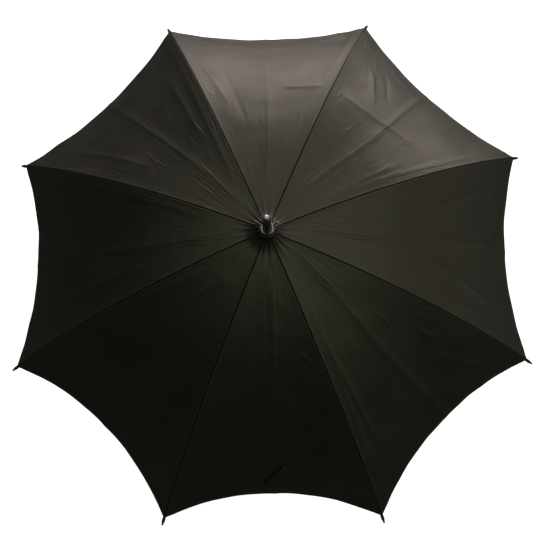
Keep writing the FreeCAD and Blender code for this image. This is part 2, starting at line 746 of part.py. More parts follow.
def make_handle():
    """The crook handle, bored for the shaft, with its collar and its end cap."""
    body = new_body("handle")
    route = new_sketch(body, "handle_route", "XZ_Plane")
    top = Vector(0, -size("grip_top"), 0)
    bottom = Vector(0, -size("grip_straight"), 0)
    across = Vector(2 * size("crook_radius"), -size("grip_straight"), 0)
    end = across + Vector(0, size("crook_end"), 0)
    route.addGeometry(Part.LineSegment(top, bottom), False)
    centre = Vector(size("crook_radius"), -size("grip_straight"), 0)
    crook = Part.Circle(centre, Vector(0, 0, 1), size("crook_radius"))
    route.addGeometry(Part.ArcOfCircle(crook, math.pi, 2 * math.pi), False)
    route.addGeometry(Part.LineSegment(across, end), False)
    bind(route, "DistanceX", -1, 1, 0, 1, 0)
    bind(route, "DistanceY", -1, 1, 0, 1, "-grip_top")
    bind(route, "DistanceX", -1, 1, 0, 2, 0)
    bind(route, "DistanceY", -1, 1, 0, 2, "-grip_straight")
    bind(route, "DistanceX", -1, 1, 1, 3, "crook_radius")
    bind(route, "DistanceY", -1, 1, 1, 3, "-grip_straight")
    route.addConstraint(Sketcher.Constraint("Coincident", 0, 2, 1, 1))
    route.addConstraint(Sketcher.Constraint("Coincident", 1, 2, 2, 1))
    bind(route, "DistanceY", -1, 1, 2, 1, "-grip_straight")
    bind(route, "DistanceX", -1, 1, 2, 2, "2 * crook_radius")
    bind(route, "DistanceY", -1, 1, 2, 2, "crook_end - grip_straight")
    section = new_sketch(body, "handle_section", "XY_Plane", raised(-size("grip_top")))
    circle(section, "grip_radius")
    pipe = body.newObject("PartDesign::AdditivePipe", "handle_pipe")
    pipe.Profile = section
    pipe.Spine = route
    doc.recompute()
    bore = new_sketch(body, "handle_bore", "XY_Plane", raised(-size("shaft_sunk")))
    circle(bore, "shaft_radius")
    pocket(body, bore, "shaft_sunk", back=True)
    turned_body(
        "handle_collar",
        [
            ("grip_radius", "-collar_length"),
            ("collar_radius", "-collar_length"),
            ("collar_radius", "-grip_top"),
            ("collar_top", 0),
            ("shaft_radius", 0),
            ("shaft_radius", "-grip_top"),
            ("grip_radius", "-grip_top"),
        ],
    )
    cap = turned_body(
        "handle_cap",
        [
            (0, 0),
            ("grip_radius", 0),
            ("grip_radius", "cap_height * 0.4"),
            ("(grip_radius * 2 + cap_flat) / 3", "cap_height * 0.8"),
            ("cap_flat", "cap_height"),
            (0, "cap_height"),
        ],
    )
    cap.Placement = Placement(Vector(end.x, 0, end.y), Rotation())


# --- build, check and write -----------------------------------------------------------------------


make_shaft()
make_shaft_fittings()
make_crown()
make_runner()
for number in range(1, int(size("rib_count")) + 1):
    make_rib(number)
    make_rib_tip(number)
    make_rivet(number)
    make_stretcher(number)
make_gores()
make_crown_patch()
make_tie()
make_ferrule()
make_handle()
doc.recompute()

for item in doc.Objects:
    if "Invalid" in item.State or "Error" in item.State:
        raise RuntimeError(f"{item.Name} failed: {item.State}")
for part in parts:
    if part.Shape.isNull() or not part.Shape.isValid() or not part.Shape.Solids:
        raise RuntimeError(f"{part.Label} has no valid solid")

os.makedirs("parts", exist_ok=True)
for part in parts:
    part.Shape.exportStep(f"parts/{part.Label}.step")
print(f"{len(parts)} sub-parts written")
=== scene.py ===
import json
import math

import bpy
import numpy as np
from mathutils import Matrix, Vector


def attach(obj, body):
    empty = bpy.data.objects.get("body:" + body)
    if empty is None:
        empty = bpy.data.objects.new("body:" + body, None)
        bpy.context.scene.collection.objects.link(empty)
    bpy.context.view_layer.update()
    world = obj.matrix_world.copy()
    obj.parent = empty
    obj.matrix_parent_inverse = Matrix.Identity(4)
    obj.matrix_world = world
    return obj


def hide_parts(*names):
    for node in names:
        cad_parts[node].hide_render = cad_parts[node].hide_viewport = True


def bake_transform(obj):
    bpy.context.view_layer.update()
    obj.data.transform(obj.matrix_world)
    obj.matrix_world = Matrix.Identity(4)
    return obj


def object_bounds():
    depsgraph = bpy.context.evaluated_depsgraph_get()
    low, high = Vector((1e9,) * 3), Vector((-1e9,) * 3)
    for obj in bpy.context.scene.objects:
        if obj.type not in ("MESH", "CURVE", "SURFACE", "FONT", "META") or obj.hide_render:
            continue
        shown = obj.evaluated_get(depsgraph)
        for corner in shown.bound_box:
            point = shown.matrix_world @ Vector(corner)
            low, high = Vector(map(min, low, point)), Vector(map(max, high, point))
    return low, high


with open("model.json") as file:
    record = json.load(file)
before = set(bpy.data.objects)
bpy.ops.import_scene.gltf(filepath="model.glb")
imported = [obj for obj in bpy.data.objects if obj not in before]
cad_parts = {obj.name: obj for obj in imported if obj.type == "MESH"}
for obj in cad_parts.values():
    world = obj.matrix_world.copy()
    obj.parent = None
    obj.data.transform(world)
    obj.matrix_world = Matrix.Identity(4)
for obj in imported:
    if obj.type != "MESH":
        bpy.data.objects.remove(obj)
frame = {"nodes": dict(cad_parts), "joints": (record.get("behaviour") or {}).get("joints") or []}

# --- driving sizes, in metres and degrees ----------------------------------------------------------

CAD_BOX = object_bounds()
FOLD = next(joint for joint in frame["joints"] if joint["name"] == "canopy_fold")
HINGE_RADIUS = math.hypot(FOLD["pos_m"][0], FOLD["pos_m"][1])
HINGE_HEIGHT = FOLD["pos_m"][2]

RIBS = 8
HALF_TURN = math.pi / RIBS          # half the angle between two ribs
RIB_BOW = 0.740                     # radius of a rib's bow
RIB_SLOPE = math.radians(2)         # a rib's slope at its hinge

SEAM_END = 0.562                    # end of a seam along the rib's bow
GORE_START = 0.013                  # radius where the gores begin
HEM_HOLLOW = 0.0375                 # mean hollow of a hem along the bow
HEM_UNEVEN = 0.0125                 # how much deeper the hems on the slack side are
TAUT_SIDE = math.radians(48)      # the side where the cloth is pulled tightest
SEAM_GAP = 0.00015                  # half the dark line between two gores
CLOTH = 0.0005                      # thickness of the cloth
SAG = 0.6                           # share of a round bow that the cloth falls short by
PEAK_RISE = 0.013                   # rise of the cloth to the crown
PEAK_RADIUS = 0.045                 # radius where that rise begins
ROWS = 144
SEAM_STEPS = (0, 0.4, 1, 1.8, 2.7, 3.8, 5.5, 8, 12)
INNER_STEPS = 42

# Folds that the cloth keeps from being rolled up, one line each: gore, then across and along the
# gore where the fold starts and ends, its half width and its height, all in millimetres.
FOLDS = (
    (1, 45, 355, 115, 460, 7, 1.6),
    (1, 32, 390, 97, 490, 6, -1.2),
    (1, -70, 355, 115, 315, 10, 1.5),
    (1, -20, 90, -75, 300, 9, 1.2),
    (2, 60, 250, 160, 490, 8, 2.0),
    (2, -20, 325, -115, 318, 7, 1.9),
    (2, 30, 200, 95, 430, 9, -1.4),
    (2, -15, 60, -35, 95, 4, 0.8),
    (3, -40, 200, -110, 430, 9, 1.5),
    (3, 45, 240, 120, 470, 8, 1.4),
    (4, -60, 330, -112, 455, 6, 1.6),
    (4, -84, 330, -158, 500, 6, -1.4),
    (4, 40, 180, 90, 420, 9, 1.2),
    (5, -80, 345, -148, 485, 7, 1.8),
    (5, -30, 212, 0, 120, 6, 1.1),
    (5, 105, 320, 140, 430, 6, 1.6),
    (6, 50, 210, 85, 250, 5, 1.2),
    (6, -55, 300, -120, 470, 9, 1.4),
    (7, 68, 320, 88, 372, 6, 1.5),
    (7, -50, 160, -125, 460, 8, 1.6),
    (7, 60, 380, 130, 500, 7, 1.2),
    (8, -34, 280, -58, 368, 6, 1.6),
    (8, -58, 368, -112, 470, 7, 1.9),
    (8, -70, 240, -145, 500, 7, 1.4),
    (8, 50, 300, 120, 480, 9, 1.2),
)
CREASE_RISE = 0.0014                # ridge down the middle of a gore
CREASE_WIDTH = 0.013

STRAP_GORE = 6
STRAP_LENGTH = 0.058
STRAP_WIDTH = 0.014
STRAP_ALONG = 0.468                 # middle of the tie strap, along the bow
STRAP_ACROSS = 0.008                # and from the middle of its gore
STRAP_TURN = math.radians(40)       # from the gore's middle line
STRAP_LIFT = 0.0006
STRAP_THICKNESS = 0.0016
SNAP_RADIUS = 0.0055
SNAP_HEIGHT = 0.0016

PATCH_HOLE = 0.0056
PATCH_RADIUS = 0.0185
PATCH_HEIGHT = HINGE_HEIGHT + 0.018
PATCH_PLEATS = 16

HANDLE_RADIUS = 0.0105
HANDLE_TOP = -0.004
HANDLE_BEND = -0.095
HANDLE_CROOK = 0.038
HANDLE_END = -0.071

CAMERA_TARGET = Vector((-0.018, -0.055, 0.600))
CAMERA_AZIMUTH = math.radians(-108.5)
CAMERA_ELEVATION = math.radians(77.75)
CAMERA_DISTANCE = 1.700
CAMERA_ROLL = math.radians(4.75)
CAMERA_LENS = 65.55                 # on a sensor 36 mm wide


# --- the canopy's shape ------------------------------------------------------------------------------


def eased(value):
    """0 below 0, 1 above 1, and a smooth step between."""
    value = np.clip(value, 0, 1)
    return value * value * (3 - 2 * value)


def bow_radius(along):
    """Distance from the shaft of a point that far along a rib's bow."""
    return HINGE_RADIUS + RIB_BOW * (np.sin(RIB_SLOPE + along / RIB_BOW) - math.sin(RIB_SLOPE))


def bow_height(along):
    return HINGE_HEIGHT - RIB_BOW * (math.cos(RIB_SLOPE) - np.cos(RIB_SLOPE + along / RIB_BOW))


def middle_azimuth(number):
    return (2 * number - 1) * HALF_TURN


def hem_along(number, share):
    """Where the hem is along the bow: two tips with a hollow between them."""
    hollow = HEM_HOLLOW - HEM_UNEVEN * math.cos(middle_azimuth(number) - TAUT_SIDE)
    return SEAM_END - hollow * (1 - np.abs(2 * share - 1) ** 2.4)


def seam_profile(distance):
    """Height over the rib's middle line of the cloth's outer face, that far from the seam."""
    return np.interp(distance, (0, 0.0005, 0.0025, 0.006, 0.012), (0.0026, 0.0030, 0.00325, 0.0031, 0.0030))


def waves(across, along, seed, length, count):
    """Soft random waves of about that length, between -1 and 1."""
    random = np.random.default_rng(seed)
    height = np.zeros_like(across)
    for _ in range(count):
        heading = random.uniform(0, math.tau)
        stretch = random.uniform(0.7, 1.5) * length
        phase = random.uniform(0, math.tau)
        height += np.sin(math.tau * (across * math.cos(heading) + along * math.sin(heading)) / stretch + phase)
    return height / count


def fold_height(across, along, fold):
    """A single fold: a ridge or a groove with a sharp middle that fades at both ends."""
    start = np.array(fold[1:3]) / 1000
    run = np.array(fold[3:5]) / 1000 - start
    width = fold[5] / 1000
    length = math.hypot(*run)
    ahead = ((across - start[0]) * run[0] + (along - start[1]) * run[1]) / length
    aside = ((across - start[0]) * run[1] - (along - start[1]) * run[0]) / length
    aside = aside + 0.10 * width * np.sin(ahead / length * 5)
    sharp = np.exp(-np.sqrt((aside / width) ** 2 + 0.03) * 1.6)
    shown = eased(ahead / (0.3 * length)) * eased((length - ahead) / (0.3 * length))
    return fold[6] / 1000 * sharp * shown


def relief(number, share, along, chord, seam_distance):
    """How far the slack cloth stands off the smooth canopy: gathers, creases, folds and soft waves."""
    across = (share - 0.5) * chord
    radius = bow_radius(along)
    random = np.random.default_rng(number)
    offset = random.uniform(-0.004, 0.012)
    swing = random.uniform(0.002, 0.006)
    middle = across - offset * eased(along / 0.15) - swing * np.sin(along * 13 + number)
    ridge = np.exp(-np.sqrt((middle / CREASE_WIDTH) ** 2 + 0.012) * 2.2)
    height = CREASE_RISE * ridge * eased((radius - 0.05) / 0.08)
    height += 0.0010 * waves(across, along, 20 + number, 0.150, 5)
    height += 0.0004 * waves(across, along, 40 + number, 0.060, 7)
    height += 0.00012 * waves(across, along, 60 + number, 0.026, 9)
    for fold in FOLDS:
        if fold[0] == number:
            height += fold_height(across, along, fold)
    height *= eased(seam_distance / np.minimum(0.030, 0.32 * chord))
    fade = eased((0.085 - radius) / 0.060)
    gathers = 0.5 + 0.5 * np.cos(math.tau * 3 * share + 0.5 * np.sin(number))
    height += 0.0008 * fade * (gathers - 0.5) * np.sin(math.pi * share) ** 0.5
    tuck = np.exp(-((seam_distance - 0.017) / 0.006) ** 2) * (share < 0.5) * eased((radius - 0.09) / 0.1)
    return height + 0.0007 * tuck * eased(seam_distance / 0.006)


def column_shares(chord):
    """Where the columns of a row are across it: close together beside the seams."""
    half = chord / 2
    near = np.array(SEAM_STEPS) / 1000 * min(1, 0.35 * half / 0.012)
    inner = np.linspace(near[-1], half, INNER_STEPS + 1)[1:]
    side = np.concatenate([near, inner]) / chord
    return np.concatenate([side, 1 - side[-2::-1]])


def gore_grid(number):
    """The outer and the inner face of a gore as grids of points, with their cloth coordinates."""
    rows = 1 - (1 - np.linspace(0, 1, ROWS)) ** 1.08
    start = math.asin((GORE_START - HINGE_RADIUS) / RIB_BOW + math.sin(RIB_SLOPE)) * RIB_BOW
    start -= RIB_SLOPE * RIB_BOW
    shares = np.empty((ROWS, 2 * (len(SEAM_STEPS) + INNER_STEPS) - 1))
    along = np.empty_like(shares)
    for index, row in enumerate(rows):
        middle_chord = 2 * bow_radius(start + (SEAM_END - start) * row) * math.sin(HALF_TURN)
        shares[index] = column_shares(middle_chord)
        along[index] = start + (hem_along(number, shares[index]) - start) * row
    chord = 2 * bow_radius(along) * math.sin(HALF_TURN)
    seam_distance = np.minimum(shares, 1 - shares) * chord
    hem_distance = hem_along(number, shares) - along
    gap = SEAM_GAP * eased((bow_radius(along) - 0.030) / 0.030) / chord
    pulled = gap + shares * (1 - 2 * gap)
    turn = RIB_SLOPE + along / RIB_BOW
    before = (number - 1) * 2 * HALF_TURN
    after = number * 2 * HALF_TURN
    flat = [math.cos(before) * (1 - pulled) + math.cos(after) * pulled]
    flat.append(math.sin(before) * (1 - pulled) + math.sin(after) * pulled)
    radius = bow_radius(along)
    place = np.stack([radius * flat[0], radius * flat[1], bow_height(along)], axis=-1)
    normal = np.stack([flat[0] * np.sin(turn), flat[1] * np.sin(turn), np.cos(turn)], axis=-1)
    normal /= np.linalg.norm(normal, axis=-1, keepdims=True)
    lift = seam_profile(seam_distance)
    lift = lift - SAG * chord ** 2 / (8 * RIB_BOW) * 4 * shares * (1 - shares)
    lift += relief(number, shares, along, chord, seam_distance)
    lift += 0.0012 * waves((shares - 0.5) * chord, along, 90 + number, 0.070, 4) * eased(
        1 - hem_distance / 0.03) * eased(seam_distance / 0.04)
    outer = place + normal * lift[..., None]
    outer[..., 2] += PEAK_RISE * np.maximum((PEAK_RADIUS - radius) / (PEAK_RADIUS - GORE_START), 0) ** 2
    hem_fold = 1 - eased((hem_distance - 0.0065) / 0.0012)
    outer += normal * (0.00035 * hem_fold)[..., None]
    thickness = CLOTH + 0.0007 * hem_fold * eased(seam_distance / 0.004)
    inner = outer - normal * thickness[..., None]
    across = (shares - 0.5) * chord
    return outer, inner, across, along, seam_distance, hem_distance, shares


def shell(name, outer, inner, maps, closed=False):
    """A closed sheet from two grids of points. maps holds the cloth coordinates, as named pairs of grids."""
    rows, columns = outer.shape[:2]
    count = rows * columns
    index = np.arange(count).reshape(rows, columns)
    wrapped = np.concatenate([index, index[:, :1]], axis=1) if closed else index
    quads = np.stack([wrapped[:-1, :-1], wrapped[1:, :-1], wrapped[1:, 1:], wrapped[:-1, 1:]], axis=-1)
    quads = quads.reshape(-1, 4)
    edges = [wrapped[0, ::-1], wrapped[-1, :]]
    if not closed:
        edges += [wrapped[:, 0], wrapped[::-1, -1]]
    sides = [np.stack([edge[1:], edge[:-1], edge[:-1] + count, edge[1:] + count], axis=-1) for edge in edges]
    faces = np.concatenate([quads, quads[:, ::-1] + count, *sides])
    mesh = bpy.data.meshes.new(name)
    points = np.concatenate([outer.reshape(-1, 3), inner.reshape(-1, 3)])
    mesh.from_pydata(points.tolist(), [], faces.tolist())
    corners = faces.reshape(-1) % count
    for map_name, (first, second) in maps.items():
        layer = mesh.uv_layers.new(name=map_name)
        values = np.stack([first.reshape(-1)[corners], second.reshape(-1)[corners]], axis=-1)
        layer.data.foreach_set("uv", values.reshape(-1))
    mesh.polygons.foreach_set("use_smooth", [True] * len(mesh.polygons))
    mesh.update()
    piece = bpy.data.objects.new(name, mesh)
    bpy.context.scene.collection.objects.link(piece)
    return piece


def finish_piece(piece, material):
    """Gives a piece its material."""
    piece.data.materials.clear()
    piece.data.materials.append(material)


def bend_with(piece):
    """Bakes the piece's placement into its mesh."""
    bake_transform(piece)


def make_gore(number, material):
    outer, inner, across, along, seam, hem, shares = gore_grid(number)
    piece = shell(f"canopy_panel_{number}", outer, inner, {"cloth": (across, along), "edge": (seam, hem)})
    bend_with(piece)
    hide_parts(f"canopy_gore_{number}")
    finish_piece(piece, material)
    return outer


# --- small cloth pieces --------------------------------------------------------------------------------


def make_patch(material):
    """The pleated round of cloth under the ferrule's ring, with a pinked edge."""
    turns = np.linspace(0, math.tau, 193)[:-1]
    rings = np.linspace(0, 1, 26)
    ring, turn = np.meshgrid(rings, turns, indexing="ij")
    pinked = 0.00035 * (2 / math.pi) * np.arcsin(np.sin(turn * 48))
    edge = PATCH_RADIUS + pinked + 0.0006 * np.sin(turn * 5 + 1)
    radius = PATCH_HOLE + (edge - PATCH_HOLE) * ring
    out = eased((radius - 0.0105) / 0.006)
    drop = 0.0036 * np.maximum((radius - 0.0112) / (PATCH_RADIUS - 0.0112), 0) ** 1.3
    pleat = 0.00055 * out * np.cos(turn * PATCH_PLEATS + 2.5 * radius / PATCH_RADIUS)
    height = PATCH_HEIGHT + 0.0007 - drop + pleat
    outer = np.stack([radius * np.cos(turn), radius * np.sin(turn), height], axis=-1)
    inner = outer - np.array([0, 0, CLOTH])
    span = radius * turn
    piece = shell("crown_rosette", outer, inner, {"cloth": (span, radius), "edge": (
        np.full_like(radius, 0.01), (1 - ring) * (PATCH_RADIUS - PATCH_HOLE))}, closed=True)
    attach(piece, "root")
    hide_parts("crown_patch")
    finish_piece(piece, material)


def surface_at(outer, grid_shares, grid_along, share, along):
    """A point of a gore's outer face, and the way out of it, at a share across and a distance along."""
    row = np.abs(grid_along[:, grid_along.shape[1] // 2] - along).argmin()
    row = min(max(row, 1), len(grid_along) - 2)
    column = np.abs(grid_shares[row] - share).argmin()
    across_step = outer[row, column + 1] - outer[row, column - 1]
    along_step = outer[row + 1, column] - outer[row - 1, column]
    point = outer[row, column]
    point = point + across_step * (share - grid_shares[row, column]) / (
        grid_shares[row, column + 1] - grid_shares[row, column - 1])
    point = point + along_step * (along - grid_along[row, column]) / (
        grid_along[row + 1, column] - grid_along[row - 1, column])
    out = np.cross(along_step, across_step)
    return point, out / np.linalg.norm(out)


def on_strap(grids, length, width):
    """A point of the gore under the strap, the way out of it and its share across the gore."""
    outer, along, shares = grids
    ahead = length * math.cos(STRAP_TURN) - width * math.sin(STRAP_TURN)
    aside = -length * math.sin(STRAP_TURN) - width * math.cos(STRAP_TURN)
    distance = STRAP_ALONG + ahead
    chord = 2 * float(bow_radius(distance)) * math.sin(HALF_TURN)
    share = 0.5 + (STRAP_ACROSS + aside) / chord
    point, out = surface_at(outer, shares, along, share, distance)
    return point, out, share


def make_strap(grids, material):
    """The tie strap: two layers of cloth laid on their gore, turned in at the edges and stitched."""
    lengths = np.linspace(-0.5, 0.5, 49) * STRAP_LENGTH
    widths = np.concatenate([[0.5, 0.485], np.linspace(0.45, -0.45, 13), [-0.485, -0.5]]) * STRAP_WIDTH
    top = np.empty((len(lengths), len(widths), 3))
    bottom = np.empty_like(top)
    weights = np.empty(top.shape[:2])
    for row, length in enumerate(lengths):
        for column, width in enumerate(widths):
            point, out, weights[row, column] = on_strap(grids, length, width)
            edge = min(0.5 * STRAP_WIDTH - abs(width), 0.5 * STRAP_LENGTH - abs(length))
            sewn = 0.0003 * math.exp(-((edge - 0.002) / 0.0006) ** 2)
            puff = STRAP_THICKNESS * min(1, (edge / 0.0035) + 0.45) ** 0.5 - sewn
            ripple = 0.0003 * math.sin(length * 260) * math.cos(width * 90)
            top[row, column] = point + out * (STRAP_LIFT + puff + ripple)
            bottom[row, column] = point + out * STRAP_LIFT
    grid_length, grid_width = np.meshgrid(lengths, widths, indexing="ij")
    edges = (0.5 * STRAP_WIDTH - np.abs(grid_width), 0.5 * STRAP_LENGTH - np.abs(grid_length))
    piece = shell("tie_band", top, bottom, {"cloth": (grid_width, grid_length), "edge": edges})
    bend_with(piece)
    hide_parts("tie_strap")
    finish_piece(piece, material)


def make_snap(grids, material):
    """The strap's snap: a rimmed button with a domed middle, on the end of the strap nearer the crown."""
    point, out, share = on_strap(grids, SNAP_RADIUS + 0.002 - STRAP_LENGTH / 2, 0)
    profile = np.array([
        (0.02, 0.62), (0.30, 0.66), (0.42, 0.80), (0.50, 0.98), (0.60, 0.92), (0.66, 0.70), (0.76, 0.66),
        (0.84, 0.84), (0.92, 0.88), (0.98, 0.74), (1.00, 0.40), (0.99, 0.05)])
    turns = np.linspace(0, math.tau, 49)[:-1]
    first = np.cross(out, (0, 0, 1.0))
    first /= np.linalg.norm(first)
    second = np.cross(out, first)
    ring = np.cos(turns)[:, None] * first + np.sin(turns)[:, None] * second
    spread = profile[:, 0][:, None, None] * SNAP_RADIUS * ring
    base = point + out * (STRAP_LIFT + STRAP_THICKNESS)
    outer = base + spread + out * (profile[:, 1][:, None, None] * SNAP_HEIGHT)
    inner = base + spread
    plane = np.meshgrid(turns * SNAP_RADIUS, profile[:, 0] * SNAP_RADIUS, indexing="xy")
    piece = shell("tie_button", outer, inner, {"cloth": plane}, closed=True)
    bend_with(piece)
    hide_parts("tie_snap")
    finish_piece(piece, material)


# --- the handle --------------------------------------------------------------------------------------


def handle_path():
    """Points down the handle's middle line, and the direction of each."""
    straight = np.linspace(HANDLE_TOP, HANDLE_BEND, 30)[:-1]
    turns = np.linspace(0, math.pi, 72)
    rise = np.linspace(HANDLE_BEND, HANDLE_END, 9)[1:]
    points = [(0, 0, z) for z in straight]
    points += [(HANDLE_CROOK * (1 - math.cos(t)), 0, HANDLE_BEND - HANDLE_CROOK * math.sin(t)) for t in turns]
    points += [(2 * HANDLE_CROOK, 0, z) for z in rise]
    points = np.array(points, float)
    direction = np.gradient(points, axis=0)
    return points, direction / np.linalg.norm(direction, axis=1, keepdims=True)


def make_handle(material):
    """The bent stick of the crook handle, swept so that its grain follows the bend."""
    points, direction = handle_path()
    length = np.concatenate([[0], np.cumsum(np.linalg.norm(np.diff(points, axis=0), axis=1))])
    ends = np.minimum(length, length[-1] - length)
    radius = HANDLE_RADIUS - 0.0012 * (1 - np.sqrt(1 - (1 - np.clip(ends / 0.0012, 0, 1)) ** 2))
    radius = radius + 0.00012 * np.sin(length * 55) * eased(ends / 0.02)
    turns = np.linspace(0, math.tau, 65)[:-1]
    side = np.cross(direction, np.array([0, 1.0, 0]))
    ring = np.cos(turns)[None, :, None] * side[:, None, :] + np.sin(turns)[None, :, None] * np.array([0, 1.0, 0])
    outer = points[:, None, :] + ring * radius[:, None, None]
    bore = np.where(points[:, 2] > -0.075, 0.0052, 0.0040) * np.ones(len(points))
    inner = points[:, None, :] + ring * bore[:, None, None]
    around, ahead = np.meshgrid(turns * HANDLE_RADIUS, length, indexing="xy")
    piece = shell("handle_crook", outer, inner, {"cloth": (around, ahead), "edge": (around, ahead)}, closed=True)
    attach(piece, "root")
    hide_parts("handle")
    finish_piece(piece, material)


# --- materials -----------------------------------------------------------------------------------------


def new_material(name, **sockets):
    """A material whose shader's own sockets hold these values."""
    material = bpy.data.materials.new(name)
    material.use_nodes = True
    shader = material.node_tree.nodes["Principled BSDF"]
    for socket, value in sockets.items():
        shader.inputs[socket.replace("_", " ")].default_value = value
    return material, material.node_tree, shader


def add(tree, kind, sockets, **settings):
    """A node with these settings; a socket is given a value, or a link if that value is a socket."""
    node = tree.nodes.new(kind)
    for name, value in settings.items():
        setattr(node, name, value)
    for name, value in sockets.items():
        if isinstance(value, bpy.types.NodeSocket):
            tree.links.new(value, node.inputs[name])
        else:
            node.inputs[name].default_value = value
    return node.outputs[0]


def maths(tree, operation, first, second=0.0):
    return add(tree, "ShaderNodeMath", {0: first, 1: second}, operation=operation)


def span(tree, value, low, high, to_low=0.0, to_high=1.0, smooth=False):
    """value, from low to high, carried over to another range and held there."""
    kind = "SMOOTHSTEP" if smooth else "LINEAR"
    sockets = {"Value": value, "From Min": low, "From Max": high, "To Min": to_low, "To Max": to_high}
    return add(tree, "ShaderNodeMapRange", sockets, interpolation_type=kind, clamp=True)


def noise(tree, vector, scale, detail=3.0, rough=0.5, distortion=0.0):
    sockets = {"Vector": vector, "Scale": scale, "Detail": detail, "Roughness": rough, "Distortion": distortion}
    return add(tree, "ShaderNodeTexNoise", sockets)


def stretched(tree, vector, x, y, z):
    """vector with each axis scaled by its own amount."""
    return add(tree, "ShaderNodeMapping", {"Vector": vector, "Scale": (x, y, z)})


def blended(tree, share, first, second):
    """Two colours mixed by a share that varies over the surface."""
    node = tree.nodes.new("ShaderNodeMix")
    node.data_type = "RGBA"
    for index, value in ((0, share), (6, first), (7, second)):
        if isinstance(value, bpy.types.NodeSocket):
            tree.links.new(value, node.inputs[index])
        else:
            node.inputs[index].default_value = value
    return node.outputs[2]


def bumped(tree, shader, height, distance, strength=1.0, before=None):
    sockets = {"Height": height, "Distance": distance, "Strength": strength}
    if before is not None:
        sockets["Normal"] = before
    result = add(tree, "ShaderNodeBump", sockets)
    tree.links.new(result, shader.inputs["Normal"])
    return result


def uv(tree, name):
    return add(tree, "ShaderNodeUVMap", {}, uv_map=name)


def threads(tree, vector, direction):
    """The threads of a weave that lie side by side in one direction."""
    add(tree, "ShaderNodeTexWave", {"Vector": vector, "Scale": 300.0, "Distortion": 0.4},
        wave_type="BANDS", bands_direction=direction)
    return tree.nodes[-1].outputs["Fac"]


def stitches(tree, across, along, place, pitch):
    """Thread on a line at that distance from an edge: 1 on a stitch, 0 beside it and between two."""
    line = maths(tree, "SUBTRACT", across, place)
    line = maths(tree, "ABSOLUTE", line)
    line = span(tree, line, 0.0003, 0.0005, 1.0, 0.0)
    dash = maths(tree, "MODULO", maths(tree, "ADD", along, 1.0), pitch)
    dash = maths(tree, "ABSOLUTE", maths(tree, "SUBTRACT", dash, pitch / 2))
    dash = span(tree, dash, 0.36 * pitch, 0.44 * pitch, 1.0, 0.0)
    return maths(tree, "MULTIPLY", line, dash)


def ridges(tree, value):
    """Thin raised lines where a soft noise passes its middle value."""
    middle = maths(tree, "ABSOLUTE", maths(tree, "SUBTRACT", value, 0.5))
    return span(tree, middle, 0.0, 0.055, 1.0, 0.0, smooth=True)


def pulled_creases(tree, across, along):
    """Creases that fan out from the crown, and others that run to the tips at both ends of a hem."""
    fan = maths(tree, "DIVIDE", across, maths(tree, "ADD", along, 0.05))
    crown = add(tree, "ShaderNodeCombineXYZ", {"X": maths(tree, "MULTIPLY", fan, 15.0), "Y": maths(
        tree, "MULTIPLY", along, 5.0)})
    from_crown = ridges(tree, noise(tree, crown, 1.0, 3.0, 0.5, 0.25))
    aside = maths(tree, "SUBTRACT", 0.215, maths(tree, "ABSOLUTE", across))
    ahead = maths(tree, "SUBTRACT", SEAM_END, along)
    angle = maths(tree, "ARCTAN2", aside, maths(tree, "ADD", ahead, 0.01))
    reach = maths(tree, "SQRT", maths(tree, "ADD", maths(tree, "MULTIPLY", aside, aside), maths(
        tree, "MULTIPLY", ahead, ahead)))
    corner = add(tree, "ShaderNodeCombineXYZ", {
        "X": maths(tree, "MULTIPLY", angle, 9.0), "Y": maths(tree, "MULTIPLY", reach, 6.0),
        "Z": maths(tree, "MULTIPLY", maths(tree, "SIGN", across), 3.0)})
    from_tip = ridges(tree, noise(tree, corner, 1.0, 3.0, 0.5, 0.25))
    from_tip = maths(tree, "MULTIPLY", from_tip, span(tree, reach, 0.10, 0.30, 1.0, 0.0, smooth=True))
    from_crown = maths(tree, "MULTIPLY", from_crown, span(tree, along, 0.20, 0.46, 1.0, 0.25, smooth=True))
    return maths(tree, "MAXIMUM", from_crown, from_tip)


